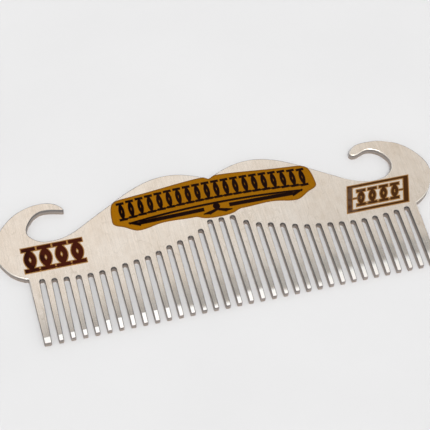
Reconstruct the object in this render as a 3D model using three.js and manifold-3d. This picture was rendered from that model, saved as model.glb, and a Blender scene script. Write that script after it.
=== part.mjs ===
// A pocket beard comb in the shape of a moustache, cut from one sheet of stainless steel.
// Units are millimetres. The comb lies flat on Z = 0 with its marked face up (+Z).
// X runs along the comb, the teeth point to -Y and Y = 0 is the line of their tips.
import * as THREE from 'three';
import { mergeVertices } from 'three/addons/utils/BufferGeometryUtils.js';
import Module from 'manifold-3d';

const wasm = await Module();
wasm.setup();

// ---- Driving dimensions -------------------------------------------------------------------

const pitch = 3.0; // from one tooth to the next
const teeth = 34;
const sheet = 2.0; // thickness of the steel

const slotRound = 0.68; // radius of the closed end of a slot
const tipHalf = 0.62; // half the width of a tooth at its tip
const endTipHalf = 1.2; // the outer side of the first and last tooth is further out
const tipCorner = 0.3; // corners of a tip, seen from above
const slotTops = [ // where a slot ends, counted outwards from the middle slot
  25.0, 25.0, 22.8, 21.4, 20.7, 19.9, 18.9, 18.1, 17.7, 17.3, 16.9, 16.6, 16.5, 16.6, 16.8, 17.1, 17.5,
];

const grindAngle = THREE.MathUtils.degToRad(8); // slope of the ground tips
const backGrind = 0.9; // length of the smaller bevel on the underside of every tip
const faceGrinds = [ // the tips were ground by hand: last tooth of a group, length of its bevel
  { last: 5, length: 1.6 },
  { last: 12, length: 2.8 },
  { last: 13, length: 1.9 },
  { last: 16, length: 0.9 },
  { last: 17, length: 2.0 },
  { last: 19, length: 2.8 },
  { last: 20, length: 2.0 },
  { last: 24, length: 1.1 },
  { last: 25, length: 2.8 },
  { last: teeth, length: 3.4 },
];

const parting = { y: 37.1, half: 0.35 }; // the notch between the two halves of the moustache

// Each half of the moustache, measured outwards from the middle: x, y, heading of the edge in degrees.
// The two halves were drawn by hand and differ by about half a millimetre.
const rightHalf = [
  [51.1, 18.1, 22], // shoulder of the last tooth
  [55.9, 21.9, 55],
  [58.1, 27.3, 90], // end of the comb
  [54.1, 35.5, 135],
  [44.4, 39.3, 180], // top of the hook
  [39.3, 38.0, 228],
  [38.8, 36.1, 325], // point of the hook
  [43.4, 36.9, 0], // inside of the hook
  [47.2, 34.9, 310],
  [48.5, 31.5, 270],
  [46.6, 28.3, 218],
  [42.6, 27.2, 180], // bottom of the valley
  [31.0, 31.9, 148.5],
  [11.3, 40.6, 180], // top of the hump
  [parting.half, parting.y + 0.2, 210],
];
const leftHalf = [
  [51.1, 18.2, 17], // shoulder of the first tooth
  [55.9, 21.6, 55],
  [58.1, 27.3, 90], // end of the comb
  [54.1, 35.3, 135],
  [44.5, 39.3, 180], // top of the hook
  [39.9, 37.8, 222],
  [38.8, 36.4, 255], // point of the hook, squarer than the other
  [39.1, 36.1, 12],
  [43.8, 37.0, 0], // inside of the hook
  [47.4, 35.3, 310],
  [49.2, 31.7, 270],
  [47.0, 28.7, 215],
  [42.8, 27.9, 180], // bottom of the valley
  [31.0, 32.8, 152.5],
  [11.3, 40.6, 180], // top of the hump
  [parting.half, parting.y + 0.2, 210],
];

const markHeight = 0.04; // thickness of one layer of colour
const faceZ = sheet;
const artZ = sheet + markHeight; // the dark artwork lies on top of the banner's colour

// Rows of balusters. half, neck, belly and eye are half widths; link is the tie between two feet.
const banner = {
  centre: -0.2, half: 27.2, rowY: 33.7,
  row: {
    count: 20, step: 2.55, half: 0.98, height: 5.4, slab: 0.6, neck: 0.25, belly: 0.7, eye: 0.14, link: 0.3,
  },
};
const leftMark = {
  x: -43.8, y: 23.5, lean: 0,
  row: { count: 4, step: 4.0, half: 1.8, height: 7.2, slab: 1.1, neck: 0.6, belly: 1.55, eye: 0.3, link: 0.4 },
};
const rightMark = {
  x: 42.0, y: 22.8, lean: 0.3,
  frame: { half: 8.4, height: 7.8, side: 1.3, rule: 0.6 },
  row: { count: 4, step: 3.1, half: 1.25, height: 4.9, slab: 0.8, neck: 0.4, belly: 1.0, eye: 0.2, link: 0.3 },
};

// ---- Materials ----------------------------------------------------------------------------

function material(color, roughness, metalness) {
  return new THREE.MeshStandardMaterial({ color, roughness, metalness });
}

const brushedSteel = material(0xcfc8bd, 0.38, 1.0);
const ochreColour = material(0xb2770f, 0.55, 0.2);
const blackColour = material(0x24130c, 0.6, 0.1);
const darkBrownColour = material(0x2e120c, 0.6, 0.1);
const brownColour = material(0x4a2a18, 0.6, 0.1);

// ---- Helpers ------------------------------------------------------------------------------

const radians = THREE.MathUtils.degToRad;

// Carries a path on from the first key [x, y, heading] through the rest, each stretch close to an arc.
function addRun(path, keys) {
  let [x0, y0, heading0] = keys[0];
  for (const [x1, y1, heading1] of keys.slice(1)) {
    const chord = Math.hypot(x1 - x0, y1 - y0);
    const turn = Math.abs(radians(((heading1 - heading0 + 540) % 360) - 180));
    const reach = turn < 0.01 ? chord / 3 : (chord * 2 * Math.tan(turn / 4)) / (3 * Math.sin(turn / 2));
    path.bezierCurveTo(
      x0 + reach * Math.cos(radians(heading0)), y0 + reach * Math.sin(radians(heading0)),
      x1 - reach * Math.cos(radians(heading1)), y1 - reach * Math.sin(radians(heading1)),
      x1, y1,
    );
    [x0, y0, heading0] = [x1, y1, heading1];
  }
}

function mirrored(keys) {
  return keys.map(([x, y, heading]) => [-x, y, -heading]).reverse();
}

function extruded(shapes, z, height, curveSegments) {
  const geometry = new THREE.ExtrudeGeometry(shapes, { depth: height, bevelEnabled: false, curveSegments });
  return geometry.translate(0, 0, z);
}

function toManifold(geometry) {
  const bare = geometry.clone();
  bare.deleteAttribute('normal');
  bare.deleteAttribute('uv');
  const merged = mergeVertices(bare, 1e-5);
  return new wasm.Manifold(new wasm.Mesh({
    numProp: 3,
    vertProperties: new Float32Array(merged.attributes.position.array),
    triVerts: new Uint32Array(merged.index.array),
  }));
}

function toGeometry(manifold) {
  const mesh = manifold.getMesh();
  const geometry = new THREE.BufferGeometry();
  geometry.setAttribute('position', new THREE.BufferAttribute(new Float32Array(mesh.vertProperties), 3));
  geometry.setIndex(new THREE.BufferAttribute(new Uint32Array(mesh.triVerts), 1));
  geometry.computeVertexNormals();
  return geometry;
}

// Overlapping shapes as one body.
function joined(shapes, z, height, curveSegments) {
  const bodies = shapes.map((shape) => toManifold(extruded(shape, z, height, curveSegments)));
  return toGeometry(bodies.reduce((whole, body) => whole.add(body)));
}

// ---- Comb plate ---------------------------------------------------------------------------

const slotsAside = (teeth - 2) / 2; // slots on each side of the middle one
const firstToothX = (-(teeth - 1) / 2) * pitch;

// The teeth from left to right, with the slots between them.
function addTeeth(path) {
  for (let tooth = 0; tooth < teeth; tooth++) {
    const x = firstToothX + tooth * pitch;
    const left = x - (tooth === 0 ? endTipHalf : tipHalf);
    const right = x + (tooth === teeth - 1 ? endTipHalf : tipHalf);
    path.lineTo(left, tipCorner);
    path.quadraticCurveTo(left, 0, left + tipCorner, 0);
    path.lineTo(right - tipCorner, 0);
    path.quadraticCurveTo(right, 0, right, tipCorner);
    if (tooth < teeth - 1) {
      const top = slotTops[Math.abs(tooth - slotsAside)] - slotRound;
      path.lineTo(x + pitch / 2 - slotRound, top);
      path.absarc(x + pitch / 2, top, slotRound, Math.PI, 0, true);
    }
  }
}

function plateOutline() {
  const shape = new THREE.Shape();
  const [shoulderX, shoulderY] = leftHalf[0];
  shape.moveTo(-shoulderX, shoulderY);
  addTeeth(shape);
  shape.lineTo(rightHalf[0][0], rightHalf[0][1]);
  addRun(shape, rightHalf);
  shape.quadraticCurveTo(0, parting.y, -parting.half, parting.y + 0.2);
  addRun(shape, mirrored(leftHalf));
  return shape;
}

// The prism that a grindstone takes off a tip: full depth at Y = 0, nothing at `length`.
function grindCut(x, half, length, underside) {
  const past = 1.0;
  const drop = (distance) => distance * Math.tan(grindAngle);
  const profile = new THREE.Shape();
  profile.moveTo(length, 0);
  profile.lineTo(-past, -drop(length + past));
  profile.lineTo(-past, past);
  profile.lineTo(length + past, past);
  profile.lineTo(length + past, 0);
  const cut = new THREE.ExtrudeGeometry(profile, { depth: 2 * half, bevelEnabled: false });
  cut.applyMatrix4(new THREE.Matrix4().makeBasis(
    new THREE.Vector3(0, 1, 0), new THREE.Vector3(0, 0, 1), new THREE.Vector3(1, 0, 0),
  ));
  cut.translate(x - half, 0, sheet);
  if (underside) {
    cut.rotateY(Math.PI);
    cut.translate(2 * x, 0, sheet);
  }
  return toManifold(cut);
}

function combPlate() {
  let plate = toManifold(extruded(plateOutline(), 0, sheet, 9));
  for (let tooth = 0; tooth < teeth; tooth++) {
    const x = firstToothX + tooth * pitch;
    const { length } = faceGrinds.find(({ last }) => tooth < last);
    plate = plate.subtract(grindCut(x, pitch / 2, length, false));
    plate = plate.subtract(grindCut(x, pitch / 2, backGrind, true));
  }
  return toGeometry(plate);
}

// ---- Banner -------------------------------------------------------------------------------

// How far the banner's lines have dropped at x, because they arch up towards the middle.
function archDrop(x) {
  return 1.5 * ((x - banner.centre) / 25) ** 2;
}

// Upper edge arched, lower edge with a lobe in the middle and one near each end.
function bannerField() {
  const { centre, half } = banner;
  const edge = [
    [0, 25.4, 0],
    [5.1, 26.3, 30],
    [6.6, 26.6, 0],
    [17.4, 26.4, 345],
    [20.8, 25.9, 0],
    [24.4, 27.6, 30],
    [half, 29.6, 90],
    [half - 0.6, 34.3, 108],
    [23.6, 36.0, 175],
    [15.5, 36.7, 174],
    [4.5, 37.8, 176],
    [1.4, 37.9, 182],
    [0, 37.1, 225],
  ];
  const shape = new THREE.Shape();
  shape.moveTo(0, edge[0][1]);
  addRun(shape, edge);
  addRun(shape, mirrored(edge));
  const field = extruded(shape, faceZ, markHeight, 6).translate(centre, 0, 0);
  const steelEdge = extruded(plateOutline(), faceZ - sheet, 2 * sheet, 9);
  return toGeometry(toManifold(field).intersect(toManifold(steelEdge)));
}

// A lozenge with bowed sides.
function lozenge(x, y, half, height) {
  const shape = new THREE.Shape();
  shape.moveTo(x, y - height / 2);
  shape.quadraticCurveTo(x + half, y - height * 0.3, x + half, y);
  shape.quadraticCurveTo(x + half, y + height * 0.3, x, y + height / 2);
  shape.quadraticCurveTo(x - half, y + height * 0.3, x - half, y);
  shape.quadraticCurveTo(x - half, y - height * 0.3, x, y - height / 2);
  return shape;
}

// A baluster: a slab at the foot and at the head, and a belly with a small eye between two necks.
// lean pushes its head to the right.
function baluster(x, y, { half, height, slab, neck, belly, eye }, lean) {
  const at = (dx, dy) => [x + dx + lean * dy, y + dy];
  const head = height / 2;
  const shaft = head - slab;
  const shape = new THREE.Shape();
  shape.moveTo(...at(-half, -head));
  shape.lineTo(...at(half, -head));
  shape.lineTo(...at(half, -shaft));
  shape.lineTo(...at(neck, -shaft));
  shape.quadraticCurveTo(...at(belly, -shaft * 0.5), ...at(belly, 0));
  shape.quadraticCurveTo(...at(belly, shaft * 0.5), ...at(neck, shaft));
  shape.lineTo(...at(half, shaft));
  shape.lineTo(...at(half, head));
  shape.lineTo(...at(-half, head));
  shape.lineTo(...at(-half, shaft));
  shape.lineTo(...at(-neck, shaft));
  shape.quadraticCurveTo(...at(-belly, shaft * 0.5), ...at(-belly, 0));
  shape.quadraticCurveTo(...at(-belly, -shaft * 0.5), ...at(-neck, -shaft));
  shape.lineTo(...at(-half, -shaft));
  const pierced = new THREE.Path();
  pierced.moveTo(...at(0, -shaft * 0.3));
  pierced.quadraticCurveTo(...at(2 * eye, 0), ...at(0, shaft * 0.3));
  pierced.quadraticCurveTo(...at(-2 * eye, 0), ...at(0, -shaft * 0.3));
  shape.holes.push(pierced);
  return shape;
}

// A tapering stroke from one point to another, thick at the start.
function stroke([x0, y0], [x1, y1], thickStart, thickEnd) {
  const along = new THREE.Vector2(x1 - x0, y1 - y0).normalize();
  const [nx, ny] = [-along.y / 2, along.x / 2];
  const shape = new THREE.Shape();
  shape.moveTo(x0 + nx * thickStart, y0 + ny * thickStart);
  shape.lineTo(x0 - nx * thickStart, y0 - ny * thickStart);
  shape.lineTo(x1 - nx * thickEnd, y1 - ny * thickEnd);
  shape.lineTo(x1 + nx * thickEnd, y1 + ny * thickEnd);
  return shape;
}

// A row of balusters centred on x, tied to each other foot to foot; rise(x) lifts or lowers each one.
function balusterRow(x, y, size, lean, rise) {
  const { count, step, half, height, link } = size;
  const shapes = [];
  for (let i = 0; i < count; i++) {
    const ownX = x + (i - (count - 1) / 2) * step;
    const ownY = y + rise(ownX);
    shapes.push(baluster(ownX, ownY, size, lean));
    if (i > 0) {
      const footX = ownX - (lean * height) / 2;
      const footY = ownY - height / 2 + link;
      const lastFootY = y + rise(ownX - step) - height / 2 + link;
      shapes.push(stroke([footX - step + half * 0.8, lastFootY], [footX - half * 0.8, footY], link, link));
    }
  }
  return shapes;
}

// A band that follows the arch, from x = from to x = to; bend 1 is the full arch and 0 is straight.
function archedBand(from, to, yTop, yBottom, bend) {
  const steps = 12;
  const lower = [];
  const upper = [];
  for (let i = 0; i <= steps; i++) {
    const x = from + ((to - from) * i) / steps;
    lower.push(new THREE.Vector2(x, yBottom - bend * archDrop(x)));
    upper.unshift(new THREE.Vector2(x, yTop - bend * archDrop(x)));
  }
  return new THREE.Shape([...lower, ...upper]);
}

// A balustrade along the arch.
function bannerFrieze() {
  const { centre, rowY, row } = banner;
  const shapes = balusterRow(centre, rowY, row, 0, (x) => -archDrop(x));
  return joined(shapes, artZ, markHeight, 3);
}

// A thin rule over two thick ones that end in barbs, with a small moustache in the middle.
function bannerRules() {
  const shapes = [
    archedBand(banner.centre - 23.0, banner.centre + 23.0, 29.9, 29.4, 1),
    lozenge(banner.centre, 28.6, 0.9, 2.2),
  ];
  for (const side of [-1, 1]) {
    const at = (x) => banner.centre + side * x;
    const [from, to] = [at(3.4), at(20.5)].sort((a, b) => a - b);
    shapes.push(archedBand(from, to, 28.8, 27.8, 0.3));
    shapes.push(stroke([at(20.2), 27.6], [at(23.2), 28.6], 1.0, 0.3));
    shapes.push(stroke([at(-0.1), 27.7], [at(2.3), 26.9], 0.5, 0.9));
    shapes.push(stroke([at(2.1), 27.0], [at(3.8), 26.9], 0.85, 0.15));
  }
  return joined(shapes, artZ, markHeight, 3);
}

// ---- Marks at the ends --------------------------------------------------------------------

function leftMarkBalusters() {
  const { x, y, lean, row } = leftMark;
  return joined(balusterRow(x, y, row, lean, () => 0), faceZ, markHeight, 6);
}

// A leaning frame: sides `side` thick, upper and lower rule `rule` thick.
function leaningFrame(x, y, lean, { half, height, side, rule }) {
  const corners = (w, h) => [[-w, -h], [w, -h], [w, h], [-w, h]].map(
    ([dx, dy]) => new THREE.Vector2(x + dx + lean * dy, y + dy),
  );
  const shape = new THREE.Shape(corners(half, height / 2));
  shape.holes.push(new THREE.Path(corners(half - side, height / 2 - rule)));
  return shape;
}

// Leaning balusters in a frame, all tied together by a thin line.
function rightMarkCartouche() {
  const { x, y, lean, frame, row } = rightMark;
  const reach = frame.half - frame.side / 2;
  const inner = ((row.count - 1) / 2) * row.step;
  const shapes = [
    leaningFrame(x, y, lean, frame),
    stroke([x - reach, y], [x - inner, y], row.link, row.link),
    stroke([x + inner, y], [x + reach, y], row.link, row.link),
    ...balusterRow(x, y, row, lean, () => 0),
  ];
  return joined(shapes, faceZ, markHeight, 6);
}

// ---- Assembly -----------------------------------------------------------------------------

function piece(name, geometry, surface) {
  const mesh = new THREE.Mesh(geometry, surface);
  mesh.name = name;
  return mesh;
}

const comb = new THREE.Group();
comb.name = 'beard_comb';
comb.add(
  piece('comb_plate', combPlate(), brushedSteel),
  piece('banner_field', bannerField(), ochreColour),
  piece('banner_frieze', bannerFrieze(), blackColour),
  piece('banner_rules', bannerRules(), blackColour.clone()),
  piece('left_mark', leftMarkBalusters(), darkBrownColour),
  piece('right_mark', rightMarkCartouche(), brownColour),
);

// The origin goes to the middle of the underside.
const middle = new THREE.Box3().setFromObject(comb).getCenter(new THREE.Vector3());
comb.position.set(-middle.x, -middle.y, 0);

export default comb;
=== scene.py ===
"""A brushed-steel beard comb in the shape of a moustache, with coloured marks on its face.

The comb lies flat on a pale table, marked face up. The frame's comb plate and marks give every
outline; here they become one plate with softened edges and ground tooth tips, and fine colour layers.
"""
import math

import bmesh
import bpy
import numpy as np
from mathutils import Matrix, Vector, geometry


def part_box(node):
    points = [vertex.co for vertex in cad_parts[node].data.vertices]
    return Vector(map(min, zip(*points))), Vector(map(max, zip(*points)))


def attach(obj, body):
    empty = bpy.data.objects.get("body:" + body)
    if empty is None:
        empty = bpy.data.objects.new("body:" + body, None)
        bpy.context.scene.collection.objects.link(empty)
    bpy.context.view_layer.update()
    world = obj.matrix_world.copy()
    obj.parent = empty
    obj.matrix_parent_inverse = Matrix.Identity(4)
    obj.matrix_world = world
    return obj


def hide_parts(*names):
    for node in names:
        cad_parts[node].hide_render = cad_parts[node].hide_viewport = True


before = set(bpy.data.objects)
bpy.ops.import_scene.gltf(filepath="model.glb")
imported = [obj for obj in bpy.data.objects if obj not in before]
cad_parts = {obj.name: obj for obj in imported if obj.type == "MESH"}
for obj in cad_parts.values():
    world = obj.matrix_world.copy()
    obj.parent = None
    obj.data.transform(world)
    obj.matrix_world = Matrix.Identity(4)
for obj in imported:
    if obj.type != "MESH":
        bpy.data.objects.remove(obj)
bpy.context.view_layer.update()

MM = 0.001

# ---- Sizes taken from the frame ---------------------------------------------------------------

PLATE_LOW, PLATE_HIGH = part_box("comb_plate")
TIP_Y = PLATE_LOW.y  # the line of the tooth tips
SHEET = PLATE_HIGH.z  # thickness of the steel
LENGTH = PLATE_HIGH.x - PLATE_LOW.x
DEPTH = PLATE_HIGH.y - PLATE_LOW.y  # from the tips to the top of the humps
PLATE_VERTS = np.array([v.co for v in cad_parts["comb_plate"].data.vertices])


def tooth_centres():
    """The x of every tooth, from the corners that lie on the line of the tips."""
    at_tips = PLATE_VERTS[PLATE_VERTS[:, 1] < TIP_Y + 0.01 * MM]
    xs = np.unique(np.round(at_tips[:, 0], 6))
    widest_tip = 1.8 * MM
    gaps = np.flatnonzero(np.diff(xs) > widest_tip)
    groups = np.split(xs, gaps + 1)
    return np.array([(g[0] + g[-1]) / 2 for g in groups])


TOOTH_X = tooth_centres()
PITCH = float(np.median(np.diff(TOOTH_X)))


def bevel_lengths(level):
    """How far up from its tip each tooth is bevelled on the face at that height."""
    on_face = PLATE_VERTS[abs(PLATE_VERTS[:, 2] - level) < 0.001 * MM]
    lengths = []
    for x in TOOTH_X:
        own = on_face[abs(on_face[:, 0] - x) < PITCH / 2]
        lengths.append(own[:, 1].min() - TIP_Y)
    return np.array(lengths)


FACE_BEVELS = bevel_lengths(SHEET)
BACK_BEVEL = float(np.median(bevel_lengths(0.0)))
BEVEL_SLOPE = math.tan(math.radians(5.0))

CRISP_TEETH = 11  # counted from the left; the bevels of the others run out softly
WORN_TEETH = 10  # counted from the right, the softest of all
CRISP_RIDGE = 0.08 * MM  # how far the upper end of a bevel is rounded
SOFT_RIDGE = 1.0 * MM
WORN_RIDGE = 1.9 * MM
RIDGE_SOFTNESS = np.full(len(TOOTH_X), SOFT_RIDGE)
RIDGE_SOFTNESS[:CRISP_TEETH] = CRISP_RIDGE
RIDGE_SOFTNESS[-WORN_TEETH:] = WORN_RIDGE
RIDGE_TAIL = (6 * MM, 8 * MM)  # the last trace of a soft bevel fades out between these

GROUND_FADE = 0.15 * MM  # the ground look of a tip ends over this width,
GROUND_SOFTER = 0.8  # plus this share of its ridge's softness

ROLL_FROM = 12.0 * MM  # the teeth start to curve down this far from their tips
ROLL_SLOPE = math.tan(math.radians(2.0))  # their slope at the very tip, without the bevel

OUTLINE_STEP = 0.4 * MM  # spacing of the points round the plate
ROW_FINE = 0.1 * MM  # spacing of the mesh rows across the bevels
ROW_COARSE = 0.8 * MM  # and further up the teeth
FINE_UNTIL = 4.4 * MM
ROWS_UNTIL = 30 * MM
ROOTS_BELOW = 26 * MM  # every slot ends closer to the tips than this
ROW_SPREAD = 0.22 * MM  # two lines of points run up each tooth, this far from its middle
ROWS_FROM = 0.5 * MM  # and start this far up from its tip
TOOTH_REACH = 0.55 * PITCH  # the outline within this of a tooth's middle shows how far up it runs
LEAST_MITRE = 0.6  # a corner of an offset outline moves by at most the offset over this

BOTTOM_BREAK = 0.06 * MM  # edge break all round the underside
TEETH_BREAK = 0.09 * MM  # width of the softened edge of the face, along the teeth
TIP_BREAK = 0.06 * MM  # how much wider it is at their tips,
BACK_BREAK = 0.05 * MM  # along the back,
LOBE_BREAK = 0.18 * MM  # low on the two lobes
HOOK_BREAK = 0.12 * MM  # and round the right-hand hook
BREAK_PROFILE = ((0.0, 1.0), (0.13, 0.5), (0.5, 0.13), (1.0, 0.0))  # inset and depth, in widths

# Where the softened edge changes width. Each change runs over a short stretch, given by its two
# ends, up from the tips or along from the middle.
TIPS_UNTIL = (3 * MM, 6 * MM)
BACK_FROM = (26 * MM, 28 * MM)
LOBES_FROM = (LENGTH / 2 - 9 * MM, LENGTH / 2 - 7.5 * MM)
LOBES_UP = ((13 * MM, 15 * MM), (21 * MM, 27 * MM))
HOOK_ALONG = ((33 * MM, 35 * MM), (50 * MM, 52 * MM))
HOOK_UP = ((25 * MM, 28 * MM), (38.4 * MM, 39.4 * MM))

RUBBED_FROM = 0.16 * MM  # a wider break than this is rubbed bright,
RUBBED_FADE = 0.15 * MM  # fully so when it is this much wider still
SHELF = 0.1 * MM  # level strip just inside the softened edge

LAYER_STEP = 0.3 * MM  # spacing of the points round a colour mark
LAYER_CORNER = math.radians(40)  # sharper bends than this stay corners
LAYER_SHOULDER = 0.85  # how far up its thickness a colour layer rises steeply
LAYER_RIM = 0.55  # share of the fringe's tone on the outline itself


# ---- Outlines ---------------------------------------------------------------------------------


def sections(node, height):
    """The closed lines, in order, where a level plane cuts a CAD node."""
    bm = bmesh.new()
    bm.from_mesh(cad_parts[node].data)
    bmesh.ops.remove_doubles(bm, verts=bm.verts, dist=1e-7)
    everything = bm.verts[:] + bm.edges[:] + bm.faces[:]
    cut = bmesh.ops.bisect_plane(
        bm,
        geom=everything,
        plane_co=(0, 0, height),
        plane_no=(0, 0, 1),
        clear_inner=True,
        clear_outer=True,
    )["geom_cut"]
    edges = [e for e in cut if isinstance(e, bmesh.types.BMEdge)]
    around = {}
    for e in edges:
        a, b = e.verts
        around.setdefault(a, []).append(b)
        around.setdefault(b, []).append(a)
    loops = []
    left = set(around)
    while left:
        start = min(left, key=lambda v: (v.co.x, v.co.y))
        loop = [start]
        left.discard(start)
        step = next((v for v in around[start] if v in left), None)
        while step is not None:
            loop.append(step)
            left.discard(step)
            step = next((v for v in around[step] if v in left), None)
        loops.append(np.array([(v.co.x, v.co.y) for v in loop]))
    bm.free()
    return [without_straight_points(loop) for loop in loops if len(loop) > 2]


def without_straight_points(loop, tolerance=0.002 * MM):
    """The loop without the points that lie on the line between their neighbours."""
    before = np.roll(loop, 1, axis=0)
    after = np.roll(loop, -1, axis=0)
    chord = after - before
    offset = loop - before
    cross = chord[:, 0] * offset[:, 1] - chord[:, 1] * offset[:, 0]
    distance = abs(cross) / np.maximum(np.hypot(*chord.T), 1e-12)
    return loop[distance > tolerance]


def signed_area(loop):
    """Area inside the loop, negative where it runs clockwise."""
    x, y = loop.T
    return 0.5 * float(np.sum(x * np.roll(y, -1) - np.roll(x, -1) * y))


def anticlockwise(loop):
    """The loop in that order round."""
    return loop if signed_area(loop) > 0 else loop[::-1]


def unit(v):
    return v / max(math.hypot(*v), 1e-12)


def smoothed(loop, step, corner=math.radians(33), rows=None):
    """The loop with its gentle bends rounded and points about `step` apart.

    Straight stretches stay straight. Where rows are given, the sides of the teeth get a point at
    each row instead.
    """
    count = len(loop)
    edge = [loop[(i + 1) % count] - loop[i] for i in range(count)]
    length = [math.hypot(*e) for e in edge]
    ahead = [unit(e) for e in edge]

    def tangent(i, leaving):
        """Direction of the smooth line at point i, on the side that leaves it or arrives at it."""
        e0, e1 = ahead[i - 1], ahead[i]
        own = e1 if leaving else e0
        if float(e0 @ e1) < math.cos(corner):
            return own
        if length[i - 1] > 3 * length[i]:
            return e0
        if length[i] > 3 * length[i - 1]:
            return e1
        return unit(e0 * length[i] + e1 * length[i - 1])

    points = []
    for i in range(count):
        a, b = loop[i], loop[(i + 1) % count]
        t0 = tangent(i, True)
        t1 = tangent((i + 1) % count, False)
        points.append(a)
        if rows is not None and length[i] > 2 * MM and abs(edge[i][1]) > 5 * abs(edge[i][0]):
            low, high = sorted((a[1], b[1]))
            levels = [y for y in rows if low + 0.08 * MM < y < high - 0.08 * MM]
            if a[1] > b[1]:
                levels.reverse()
            shares = [(y - a[1]) / (b[1] - a[1]) for y in levels]
        else:
            pieces = max(1, round(length[i] / step))
            shares = [k / pieces for k in range(1, pieces)]
        for s in shares:
            h0 = s * (1 - s) ** 2 * length[i]
            h1 = -(s**2) * (1 - s) * length[i]
            blend = s * s * (3 - 2 * s)
            curved = a * (1 - blend) + b * blend + h0 * t0 + h1 * t1
            points.append(curved if t0 @ t1 < 0.9999999 else a + s * (b - a))
    return np.array(points)


def inward(loop, amount):
    """Each point of an anticlockwise loop moved inwards by amount: one number, or one per point."""
    before = loop - np.roll(loop, 1, axis=0)
    after = np.roll(loop, -1, axis=0) - loop
    before /= np.maximum(np.hypot(*before.T), 1e-12)[:, None]
    after /= np.maximum(np.hypot(*after.T), 1e-12)[:, None]
    normal = np.stack([-(before + after)[:, 1], (before + after)[:, 0]], axis=1)
    normal /= np.maximum(np.hypot(*normal.T), 1e-12)[:, None]
    own = np.stack([-before[:, 1], before[:, 0]], axis=1)
    mitre = np.clip((normal * own).sum(axis=1), LEAST_MITRE, 1.0)
    return loop + normal * (np.broadcast_to(amount, len(loop)) / mitre)[:, None]


def within(loops, points):
    """Which points are inside the loops, counting holes as outside."""
    inside = np.zeros(len(points), bool)
    px, py = points.T
    for loop in loops:
        x0, y0 = loop.T
        x1, y1 = np.roll(loop, -1, axis=0).T
        for a, b, c, d in zip(x0, y0, x1, y1):
            if b == d:
                continue
            crosses = (py >= min(b, d)) & (py < max(b, d))
            inside[crosses] ^= px[crosses] < a + (py[crosses] - b) * (c - a) / (d - b)
    return inside


def smooth_step(edge0, edge1, value):
    """0 below edge0, 1 above edge1 and an easy rise between them."""
    t = np.clip((value - edge0) / (edge1 - edge0), 0, 1)
    return t * t * (3 - 2 * t)


def between(value, rise, fall):
    """1 between a stretch where it rises and a stretch where it falls, 0 outside them."""
    return smooth_step(*rise, value) * (1 - smooth_step(*fall, value))


# ---- The plate's surface ----------------------------------------------------------------------


def tooth_of(x):
    """Index of the nearest tooth at each x."""
    return np.clip(np.round((np.asarray(x) - TOOTH_X[0]) / PITCH), 0, len(TOOTH_X) - 1).astype(int)


def bevel_drop(x, up):
    """How much a tip's bevel takes off the face, `up` being the distance from the line of the tips."""
    tooth = tooth_of(x)
    inside = FACE_BEVELS[tooth] - up
    return BEVEL_SLOPE * (inside + np.hypot(inside, RIDGE_SOFTNESS[tooth])) / 2


def roll_drop(up):
    """How much lower the face is because the teeth curve down towards their tips."""
    reach = np.clip(ROLL_FROM - up, 0, None)
    return ROLL_SLOPE * reach**2 / (2 * ROLL_FROM)


def face_height(x, y):
    """Height of the marked face."""
    up = np.asarray(y) - TIP_Y
    near = 1 - smooth_step(*RIDGE_TAIL, up)
    return SHEET - near * bevel_drop(x, up) - roll_drop(up)


def back_height(y):
    """Height of the underside, which only leaves the table at the tips."""
    up = np.asarray(y) - TIP_Y
    return BEVEL_SLOPE * np.clip(BACK_BEVEL - up, 0, None)


def ground_share(x, y):
    """1 on the part of a tip that the grindstone touched, 0 elsewhere."""
    up = np.asarray(y) - TIP_Y
    tooth = tooth_of(x)
    width = GROUND_FADE + GROUND_SOFTER * RIDGE_SOFTNESS[tooth]
    return 1 - smooth_step(FACE_BEVELS[tooth] - width / 2, FACE_BEVELS[tooth] + width / 2, up)


def face_break(loop):
    """Width of the softened edge along the outline.

    It is fine along the teeth, a little wider at their tips and along the back, and widest round
    the right-hand hook and low on the two lobes, where the thumb rubs.
    """
    x, y = loop.T
    up = y - TIP_Y
    tips = 1 - smooth_step(*TIPS_UNTIL, up)
    back = smooth_step(*BACK_FROM, up)
    lobes = smooth_step(*LOBES_FROM, abs(x)) * between(up, *LOBES_UP)
    hook = between(x, *HOOK_ALONG) * between(up, *HOOK_UP)
    return TEETH_BREAK + TIP_BREAK * tips + BACK_BREAK * back + LOBE_BREAK * lobes + HOOK_BREAK * hook


def plate_rows():
    """The y of every row of mesh points across the teeth."""
    fine = np.arange(ROW_FINE, FINE_UNTIL, ROW_FINE)
    coarse = np.arange(FINE_UNTIL, ROWS_UNTIL, ROW_COARSE)
    return list(TIP_Y + np.concatenate([fine, coarse]))


def cap_triangles(loops, inner_points):
    """Triangles that fill the loops, through the inner points.

    Returns the points, for each one its place among the points given, and the triangles.
    """
    points = np.concatenate([*loops, inner_points]) if len(inner_points) else np.concatenate(loops)
    edges = []
    first = 0
    for loop in loops:
        count = len(loop)
        edges += [(first + i, first + (i + 1) % count) for i in range(count)]
        first += count
    result = geometry.delaunay_2d_cdt([Vector(p) for p in points / MM], edges, [], 0, 1e-6, True)
    out_points = np.array([tuple(p) for p in result[0]]) * MM
    origin = [ids[0] if ids else -1 for ids in result[3]]
    faces = np.array(result[2])
    centres = out_points[faces].mean(axis=1)
    faces = faces[within(loops, centres)]
    return out_points, origin, faces


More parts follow.
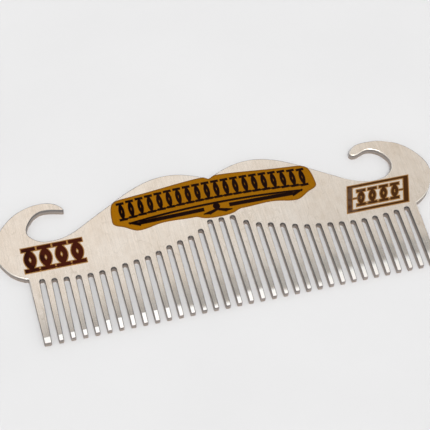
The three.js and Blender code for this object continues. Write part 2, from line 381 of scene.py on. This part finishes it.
def new_object(name, verts, faces, materials, face_slots=None, smooth_below=30.0):
    """A mesh object with smooth shading, kept crisp where faces meet at more than that angle."""
    mesh = bpy.data.meshes.new(name)
    mesh.from_pydata([tuple(v) for v in verts], [], [tuple(int(i) for i in f) for f in faces])
    for material in materials:
        mesh.materials.append(material)
    if face_slots is not None:
        mesh.polygons.foreach_set("material_index", np.asarray(face_slots, np.int32))
    mesh.validate()
    bm = bmesh.new()
    bm.from_mesh(mesh)
    bmesh.ops.recalc_face_normals(bm, faces=bm.faces)
    bm.to_mesh(mesh)
    bm.free()
    mesh.shade_smooth()
    mesh.set_sharp_from_angle(angle=math.radians(smooth_below))
    obj = bpy.data.objects.new(name, mesh)
    bpy.context.scene.collection.objects.link(obj)
    return obj


def point_attribute(obj, name, values):
    attribute = obj.data.attributes.new(name, "FLOAT", "POINT")
    attribute.data.foreach_set("value", np.asarray(values, np.float32))


def band_faces(start, rings, count):
    """Quads between closed rings of count points each, which follow one another from start."""
    faces = []
    for ring in range(rings - 1):
        for i in range(count):
            j = (i + 1) % count
            a, b = start + ring * count, start + (ring + 1) * count
            faces.append((a + i, a + j, b + j, b + i))
    return faces


def edge_rings(outline, width):
    """Rings round the plate, from the underside up to the shelf: outline, heights and rubbed share."""
    rubbed = np.clip((width - RUBBED_FROM) / RUBBED_FADE, 0, 1)
    as_cut = np.zeros(len(outline))
    rings = []
    for inset, rise in ((BOTTOM_BREAK, 0.0), (0.0, BOTTOM_BREAK)):
        ring = inward(outline, inset)
        rings.append((ring, back_height(ring[:, 1]) + rise, as_cut))
    for inset, depth in BREAK_PROFILE:
        ring = inward(outline, inset * width)
        height = face_height(*ring.T) - depth * width
        rings.append((ring, height, rubbed if inset > 0 else as_cut))
    shelf = inward(outline, width + SHELF)
    rings.append((shelf, face_height(*shelf.T), as_cut))
    return rings


def edge_slots(width):
    """Material slots of the bands round the edge: 1 for the cut wall, 0 for the brushed face.

    The underside's break and the wall are as cut, and the shelf is brushed. The softened edge
    between them is brushed only where it is rubbed.
    """
    wall = [1] * 2 * len(width)
    softened = [1 if own < RUBBED_FROM else 0 for own in width] * (len(BREAK_PROFILE) - 1)
    shelf = [0] * len(width)
    return wall + softened + shelf


def tooth_points(outline, rows):
    """Points in two lines up every tooth, so that its face can bend."""
    points = []
    for x in TOOTH_X:
        own = outline[abs(outline[:, 0] - x) < TOOTH_REACH]
        root = own[own[:, 1] < TIP_Y + ROOTS_BELOW][:, 1].max()
        for y in rows:
            if TIP_Y + ROWS_FROM < y < min(rows[-1], root):
                points += [(x - ROW_SPREAD, y), (x + ROW_SPREAD, y)]
    return np.array(points)


def filled(ring, ring_start, extra_start, inner, height):
    """Triangles that fill a ring of mesh points, and the extra points they need at height(x, y)."""
    points, origin, triangles = cap_triangles([ring], inner)
    index = np.zeros(len(points), int)
    extra = []
    for k, source in enumerate(origin):
        if 0 <= source < len(ring):
            index[k] = ring_start + source
        else:
            index[k] = extra_start + len(extra)
            extra.append((*points[k], float(height(*points[k]))))
    return index[triangles], np.array(extra).reshape(-1, 3)


def comb_plate(face_material, edge_material):
    """The whole plate: rings of points round its edge, and a filled face and underside."""
    rows = plate_rows()
    middle = sections("comb_plate", SHEET / 2)
    outline = anticlockwise(max(middle, key=lambda loop: abs(signed_area(loop))))
    outline = smoothed(outline, OUTLINE_STEP, rows=rows)
    width = face_break(outline)
    rings = edge_rings(outline, width)
    verts = [np.column_stack([ring, height]) for ring, height, _ in rings]
    worn = [rubbed for _, _, rubbed in rings]
    faces = band_faces(0, len(rings), len(outline))
    slots = edge_slots(width)

    top = len(rings) - 1
    fills = (  # ring, its first point, points inside it, heights, and which way its triangles turn
        (rings[top][0], top * len(outline), tooth_points(outline, rows), face_height, 1),
        (rings[0][0], 0, np.zeros((0, 2)), lambda x, y: back_height(y), -1),
    )
    for ring, start, inner, height, turn in fills:
        triangles, extra = filled(ring, start, sum(len(v) for v in verts), inner, height)
        verts.append(extra)
        worn.append(np.zeros(len(extra)))
        faces += [tuple(t[::turn]) for t in triangles]
        slots += [0] * len(triangles)

    verts = np.concatenate(verts)
    obj = new_object("plate", verts, faces, [face_material, edge_material], slots, smooth_below=38)
    point_attribute(obj, "worn", np.concatenate(worn))
    point_attribute(obj, "ground", ground_share(verts[:, 0], verts[:, 1]) * (verts[:, 2] > SHEET / 2))
    return obj


# ---- Colour layers ----------------------------------------------------------------------------


def layer_loops(node):
    """The outline of a CAD mark, followed by its holes, which run the other way."""
    low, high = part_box(node)
    cut_loops = sections(node, (low.z + high.z) / 2)
    loops = [smoothed(anticlockwise(loop), LAYER_STEP, LAYER_CORNER) for loop in cut_loops]
    loops.sort(key=lambda loop: -abs(signed_area(loop)))
    return [loops[0], *(loop[::-1] for loop in loops[1:])]


def colour_layer(name, node, material, fringe, border):
    """A thin layer of colour in the outline of a CAD mark.

    A fringe of the given width lies round it, and its tone changes over a border just inside.
    """
    low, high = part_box(node)
    shoulder = low.z + LAYER_SHOULDER * (high.z - low.z)
    verts, faces, rim, lids, bases = [], [], [], [], []
    for loop in layer_loops(node):
        spread = inward(loop, -fringe)
        inset = inward(loop, border)
        rings = (  # outline, height and share of the fringe's tone
            (spread, low.z, 1.0),
            (spread, shoulder, 1.0),
            (loop, high.z, LAYER_RIM),
            (inset, high.z, 0.0),
        )
        count = len(loop)
        start = sum(len(v) for v in verts)
        for ring, z, tint in rings:
            verts.append(np.column_stack([ring, np.full(count, z)]))
            rim += [tint] * count
        faces += band_faces(start, len(rings), count)
        lids.append((inset, start + (len(rings) - 1) * count))
        bases.append((spread, start))
    walls = len(faces)
    for caps, turn in ((lids, 1), (bases, -1)):
        _, origin, triangles = cap_triangles([loop for loop, _ in caps], np.zeros((0, 2)))
        where = np.concatenate([np.arange(len(loop)) + start for loop, start in caps])
        index = np.array([where[o] if 0 <= o < len(where) else -1 for o in origin])
        faces += [tuple(index[t][::turn]) for t in triangles if (index[t] >= 0).all()]
    obj = new_object(name, np.concatenate(verts), faces, [material], smooth_below=60)
    for face in obj.data.polygons[walls:]:
        face.use_smooth = False
    point_attribute(obj, "rim", rim)
    return obj


# ---- Materials --------------------------------------------------------------------------------


def grey(level):
    return (level, level, level)


STEEL_DULL, STEEL_PALE = (0.79, 0.71, 0.62), (0.86, 0.80, 0.73)
STEEL_SCRATCH = (0.50, 0.44, 0.38)
STEEL_RUBBED = (0.92, 0.87, 0.79)
STEEL_GROUND = (0.97, 0.955, 0.93)
WALL_BOTTOM, WALL_MIDDLE, WALL_TOP = (0.46, 0.37, 0.30), (0.42, 0.37, 0.34), (0.16, 0.155, 0.15)
TABLE_DULL, TABLE_PALE = (0.589, 0.592, 0.600), (0.609, 0.612, 0.620)

# Tones of a colour mark at its left end, at its right end and in its fringe.
GOLD = (0.36, 0.19, 0.06)
OCHRE = ((0.38, 0.148, 0.003), (0.36, 0.145, 0.004), (0.20, 0.085, 0.010))
BLACK = ((0.006, 0.0022, 0.0022), (0.013, 0.005, 0.004), (0.06, 0.022, 0.004))
DARK_BROWN = ((0.030, 0.007, 0.005), (0.062, 0.012, 0.006), GOLD)
BROWN = ((0.125, 0.075, 0.050), (0.075, 0.028, 0.008), GOLD)


def node_material(name):
    material = bpy.data.materials.new(name)
    material.use_nodes = True
    tree = material.node_tree
    shader = tree.nodes["Principled BSDF"]
    return material, tree, shader


def add(tree, kind, **settings):
    node = tree.nodes.new(kind)
    for key, value in settings.items():
        setattr(node, key, value)
    return node


def position(tree, scale, turn=0.0):
    """Object coordinates in millimetres, scaled along each axis and turned about Z."""
    coordinates = add(tree, "ShaderNodeTexCoord")
    mapping = add(tree, "ShaderNodeMapping")
    mapping.inputs["Scale"].default_value = [s / MM for s in scale]
    mapping.inputs["Rotation"].default_value = (0, 0, turn)
    tree.links.new(coordinates.outputs["Object"], mapping.inputs["Vector"])
    return mapping.outputs["Vector"]


def noise(tree, scale, detail=3.0, roughness=0.5, turn=0.0):
    node = add(tree, "ShaderNodeTexNoise")
    node.inputs["Scale"].default_value = 1.0
    node.inputs["Detail"].default_value = detail
    node.inputs["Roughness"].default_value = roughness
    tree.links.new(position(tree, scale, turn), node.inputs["Vector"])
    return node.outputs["Fac"]


def ramp(tree, value, *stops):
    """A colour ramp through (place, colour) stops."""
    node = add(tree, "ShaderNodeValToRGB")
    elements = node.color_ramp.elements
    while len(elements) < len(stops):
        elements.new(0.5)
    for element, (place, colour) in zip(elements, stops):
        element.position = place
        element.color = (*colour, 1.0)
    tree.links.new(value, node.inputs["Fac"])
    return node.outputs["Color"]


def maths(tree, operation, a, b, clamp=False):
    node = add(tree, "ShaderNodeMath", operation=operation, use_clamp=clamp)
    for socket, value in zip(node.inputs, (a, b)):
        if isinstance(value, (int, float)):
            socket.default_value = value
        else:
            tree.links.new(value, socket)
    return node.outputs["Value"]


def mixed(tree, share, a, b, blend="MIX"):
    """Colours a and b (a socket or a colour) mixed by share (a socket or a number)."""
    node = add(tree, "ShaderNodeMix", data_type="RGBA", blend_type=blend)
    for socket, value in ((node.inputs[0], share), (node.inputs[6], a), (node.inputs[7], b)):
        if isinstance(value, (int, float)):
            socket.default_value = value
        elif isinstance(value, tuple):
            socket.default_value = (*value, 1.0)
        else:
            tree.links.new(value, socket)
    return node.outputs[2]


def shaded(tree, share, base, value, *stops):
    """The base multiplied, by that share, with a colour ramp of the value."""
    return mixed(tree, share, base, ramp(tree, value, *stops), "MULTIPLY")


def attribute(tree, name):
    return add(tree, "ShaderNodeAttribute", attribute_name=name).outputs["Fac"]


def bump(tree, shader, height, strength, distance):
    node = add(tree, "ShaderNodeBump")
    node.inputs["Strength"].default_value = strength
    node.inputs["Distance"].default_value = distance
    tree.links.new(height, node.inputs["Height"])
    tree.links.new(node.outputs["Normal"], shader.inputs["Normal"])


def brushed_steel():
    """Steel brushed along the teeth, with cloudy handling marks, stray scratches and rubbed edges."""
    material, tree, shader = node_material("brushed_steel")
    link = tree.links.new
    clouds = noise(tree, (0.09, 0.07, 0.1), detail=4)
    blotches = noise(tree, (0.5, 0.35, 0.4), detail=4, roughness=0.6, turn=0.5)
    grain = noise(tree, (2.6, 1.7, 1.0), detail=4, roughness=0.7)
    streaks = noise(tree, (2.4, 0.09, 1.0), detail=4, roughness=0.6)
    brushing = noise(tree, (7.0, 0.12, 1.0), detail=4, roughness=0.65)
    base = ramp(tree, clouds, (0.3, STEEL_DULL), (0.7, STEEL_PALE))
    base = shaded(tree, 0.8, base, blotches, (0.35, (0.94, 0.92, 0.90)), (0.6, grey(1.0)))
    base = shaded(tree, 0.8, base, grain, (0.3, grey(0.93)), (0.65, grey(1.0)))
    base = shaded(tree, 0.8, base, streaks, (0.3, grey(0.88)), (0.7, grey(1.0)))
    base = shaded(tree, 0.8, base, brushing, (0.25, grey(0.90)), (0.75, grey(1.0)))
    scratch_noise = noise(tree, (0.2, 0.07, 1.0), detail=2, turn=1.1)
    scratches = ramp(tree, scratch_noise, (0.494, grey(0)), (0.5, grey(1)), (0.506, grey(0)))
    base = mixed(tree, maths(tree, "MULTIPLY", scratches, 0.3), base, STEEL_SCRATCH)
    edge = attribute(tree, "worn")
    base = mixed(tree, maths(tree, "MULTIPLY", edge, 0.6, True), base, STEEL_RUBBED)
    ground = attribute(tree, "ground")
    base = mixed(tree, ground, base, STEEL_GROUND)
    link(base, shader.inputs["Base Color"])
    shader.inputs["Metallic"].default_value = 1.0

    rough = maths(tree, "ADD", maths(tree, "MULTIPLY", brushing, 0.10), 0.11)
    rough = maths(tree, "ADD", rough, maths(tree, "MULTIPLY", clouds, 0.06))
    rough = maths(tree, "SUBTRACT", rough, maths(tree, "MULTIPLY", ground, 0.04))
    rough = maths(tree, "ADD", rough, maths(tree, "MULTIPLY", edge, 0.22), True)
    link(rough, shader.inputs["Roughness"])
    shader.inputs["Anisotropic"].default_value = 0.6
    across = add(tree, "ShaderNodeCombineXYZ")
    across.inputs["X"].default_value = 1.0
    link(across.outputs["Vector"], shader.inputs["Tangent"])
    fine = maths(tree, "ADD", brushing, maths(tree, "MULTIPLY", scratches, -0.5))
    bump(tree, shader, fine, 0.10, 0.02 * MM)
    return material


def cut_edge():
    """The laser-cut wall of the plate: matt, striped across the sheet, darkest under the face."""
    material, tree, shader = node_material("cut_edge")
    link = tree.links.new
    stripes = noise(tree, (6.0, 6.0, 0.25), detail=3)
    height = add(tree, "ShaderNodeSeparateXYZ")
    link(position(tree, (1, 1, MM / SHEET)), height.inputs["Vector"])
    base = ramp(tree, height.outputs["Z"], (0.0, WALL_BOTTOM), (0.5, WALL_MIDDLE), (1.0, WALL_TOP))
    base = shaded(tree, 0.5, base, stripes, (0.3, grey(0.7)), (0.7, grey(1.15)))
    link(base, shader.inputs["Base Color"])
    shader.inputs["Metallic"].default_value = 1.0
    link(maths(tree, "ADD", maths(tree, "MULTIPLY", stripes, 0.25), 0.32), shader.inputs["Roughness"])
    bump(tree, shader, stripes, 0.5, 0.03 * MM)
    return material


def mark_colour(name, near, far, fringe, roughness):
    """A colour mark on the steel: it drifts from near to far along the comb and has a tinted fringe."""
    material, tree, shader = node_material(name)
    link = tree.links.new
    mottling = noise(tree, (0.5, 0.5, 0.5), detail=4)
    speckle = noise(tree, (3.0, 3.0, 1.0), detail=2)
    brushing = noise(tree, (6.0, 0.15, 1.0), detail=3)
    generated = add(tree, "ShaderNodeTexCoord").outputs["Generated"]
    place = add(tree, "ShaderNodeSeparateXYZ")
    link(generated, place.inputs["Vector"])
    wandering = maths(tree, "ADD", place.outputs["X"], maths(tree, "MULTIPLY", mottling, 1.4))
    base = ramp(tree, wandering, (0.75, near), (1.6, far))
    base = shaded(tree, 0.5, base, brushing, (0.3, grey(0.82)), (0.7, grey(1.12)))
    base = shaded(tree, 0.5, base, speckle, (0.3, grey(0.75)), (0.7, grey(1.15)))
    rim = ramp(tree, attribute(tree, "rim"), (0.0, grey(0)), (0.6, grey(1)))
    base = mixed(tree, rim, base, fringe)
    link(base, shader.inputs["Base Color"])
    shader.inputs["Metallic"].default_value = 1.0

    # The mottling is 0.5 on average, so the roughness varies about the value given.
    rough = maths(tree, "ADD", maths(tree, "MULTIPLY", mottling, 0.2), roughness - 0.1)
    rough = maths(tree, "ADD", rough, maths(tree, "MULTIPLY", rim, 0.2), True)
    link(rough, shader.inputs["Roughness"])
    bump(tree, shader, brushing, 0.15, 0.02 * MM)
    return material


def table_top():
    """A smooth white table with a barely visible grain."""
    material, tree, shader = node_material("table_top")
    grain = noise(tree, (0.02, 0.03, 0.02), detail=5)
    base = ramp(tree, grain, (0.3, TABLE_DULL), (0.7, TABLE_PALE))
    tree.links.new(base, shader.inputs["Base Color"])
    shader.inputs["Roughness"].default_value = 0.6
    shader.inputs["Specular IOR Level"].default_value = 0.2
    return material


# ---- Stage ------------------------------------------------------------------------------------

TABLE_HALF = 1.5
TABLE_GAP = 0.02 * MM

# The colours all round, by the sine of the height above the horizon.
SKY_BANDS = (
    (0.45, (0.42, 0.43, 0.44)),  # low surroundings, off white
    (0.72, (0.86, 0.87, 0.88)),  # white wall
    (0.82, (0.86, 0.835, 0.81)),
    (0.885, (0.98, 0.95, 0.92)),  # its warm top, mirrored by the level part of the face
    (0.897, (0.98, 0.95, 0.92)),
    (0.922, (0.315, 0.338, 0.36)),  # dim band, mirrored where the teeth curve down
    (0.953, (0.315, 0.338, 0.36)),
    (0.976, grey(1.0)),  # ceiling, mirrored by the bevels
)
BAND_TILT = 0.2  # how much lower the bands lie towards the right

# The brightest colour anywhere to the left and to the right, by the direction's x.
SIDE_LIMITS = (
    (0.01, (0.86, 0.81, 0.77)),
    (0.06, grey(1.0)),
    (0.12, grey(1.0)),
    (0.30, (0.73, 0.70, 0.665)),
)
SKY_STRENGTH = 1.24
LAMP_STRENGTH = 24.0
LAMP_LEAN = math.radians(22)  # from straight overhead towards the viewer
LAMP_RADIUS = math.radians(8.1)
LAMP_FADE = math.radians(3.1)

CAMERA_AIM = Vector((-0.0108 * LENGTH, 0.142 * DEPTH, SHEET))
CAMERA_DISTANCE = 3.044 * LENGTH
CAMERA_AZIMUTH = math.radians(19.4)
CAMERA_ELEVATION = math.radians(58.3)
CAMERA_ROLL = math.radians(5.6)
CAMERA_LENS = 115.1
SENSOR_WIDTH = 36.0


def table(material):
    corners = [(-1, -1), (1, -1), (1, 1), (-1, 1)]
    mesh = bpy.data.meshes.new("table")
    verts = [(x * TABLE_HALF, y * TABLE_HALF, -TABLE_GAP) for x, y in corners]
    mesh.from_pydata(verts, [], [(0, 1, 2, 3)])
    mesh.materials.append(material)
    obj = bpy.data.objects.new("table", mesh)
    bpy.context.scene.collection.objects.link(obj)


def sky():
    """A white studio: a wall beyond the comb, a dim band above it, a ceiling and a small round lamp.

    The bands tilt, lower to the right, so that the teeth darken towards their tips all along the comb.
    """
    world = bpy.data.worlds.new("studio")
    world.use_nodes = True
    tree = world.node_tree
    background = tree.nodes["Background"]
    direction = add(tree, "ShaderNodeTexCoord").outputs["Generated"]
    split = add(tree, "ShaderNodeSeparateXYZ")
    tree.links.new(direction, split.inputs["Vector"])
    lowered = maths(tree, "MULTIPLY", split.outputs["X"], BAND_TILT)
    bands = ramp(tree, maths(tree, "ADD", split.outputs["Z"], lowered), *SKY_BANDS)
    limits = ramp(tree, split.outputs["X"], *SIDE_LIMITS)
    walls = mixed(tree, 1.0, bands, limits, "DARKEN")

    towards_lamp = add(tree, "ShaderNodeVectorMath", operation="DOT_PRODUCT")
    towards_lamp.inputs[1].default_value = (0.0, -math.sin(LAMP_LEAN), math.cos(LAMP_LEAN))
    tree.links.new(direction, towards_lamp.inputs[0])
    lamp = add(tree, "ShaderNodeMapRange")
    lamp.inputs["From Min"].default_value = math.cos(LAMP_RADIUS + LAMP_FADE)
    lamp.inputs["From Max"].default_value = math.cos(LAMP_RADIUS)
    tree.links.new(towards_lamp.outputs["Value"], lamp.inputs["Value"])
    share = lamp.outputs["Result"]
    tree.links.new(mixed(tree, share, walls, grey(1.0)), background.inputs["Color"])
    added = maths(tree, "MULTIPLY", share, LAMP_STRENGTH - SKY_STRENGTH)
    tree.links.new(maths(tree, "ADD", added, SKY_STRENGTH), background.inputs["Strength"])
    bpy.context.scene.world = world


def camera():
    """Close above the comb's left half, looking down over the teeth, a little askew."""
    forward = Vector((
        math.sin(CAMERA_AZIMUTH) * math.cos(CAMERA_ELEVATION),
        math.cos(CAMERA_AZIMUTH) * math.cos(CAMERA_ELEVATION),
        -math.sin(CAMERA_ELEVATION),
    ))
    data = bpy.data.cameras.new("camera")
    data.sensor_width = SENSOR_WIDTH
    data.lens = CAMERA_LENS
    data.clip_start = 0.01
    data.clip_end = 20.0
    obj = bpy.data.objects.new("camera", data)
    obj.rotation_mode = "QUATERNION"
    obj.location = CAMERA_AIM - forward * CAMERA_DISTANCE
    level = forward.to_track_quat("-Z", "Y")
    obj.rotation_quaternion = level @ Matrix.Rotation(CAMERA_ROLL, 4, "Z").to_quaternion()
    bpy.context.scene.collection.objects.link(obj)
    bpy.context.scene.camera = obj


# ---- The comb ---------------------------------------------------------------------------------

plate = comb_plate(brushed_steel(), cut_edge())
pieces = [(plate, "comb_plate", "steel")]

layers = (  # piece, CAD node, slot, tones, widths of fringe and border in mm, roughness
    ("banner", "banner_field", "ochre_colour", OCHRE, (0.05, 0.45), 0.34),
    ("banner_row", "banner_frieze", "black_colour", BLACK, (0.08, 0.05), 0.4),
    ("banner_lines", "banner_rules", "black_colour", BLACK, (0.08, 0.05), 0.4),
    ("left_balusters", "left_mark", "dark_brown_colour", DARK_BROWN, (0.22, 0.05), 0.4),
    ("right_cartouche", "right_mark", "brown_colour", BROWN, (0.22, 0.05), 0.4),
)
for name, node, slot_name, tones, widths, roughness in layers:
    surface = mark_colour(name, *tones, roughness)
    fringe, border = (width * MM for width in widths)
    pieces.append((colour_layer(name, node, surface, fringe, border), node, slot_name))

for piece, node, slot_name in pieces:
    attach(piece, "root")
    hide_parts(node)

table(table_top())
sky()
camera()

scene = bpy.context.scene
scene.view_settings.view_transform = "Standard"
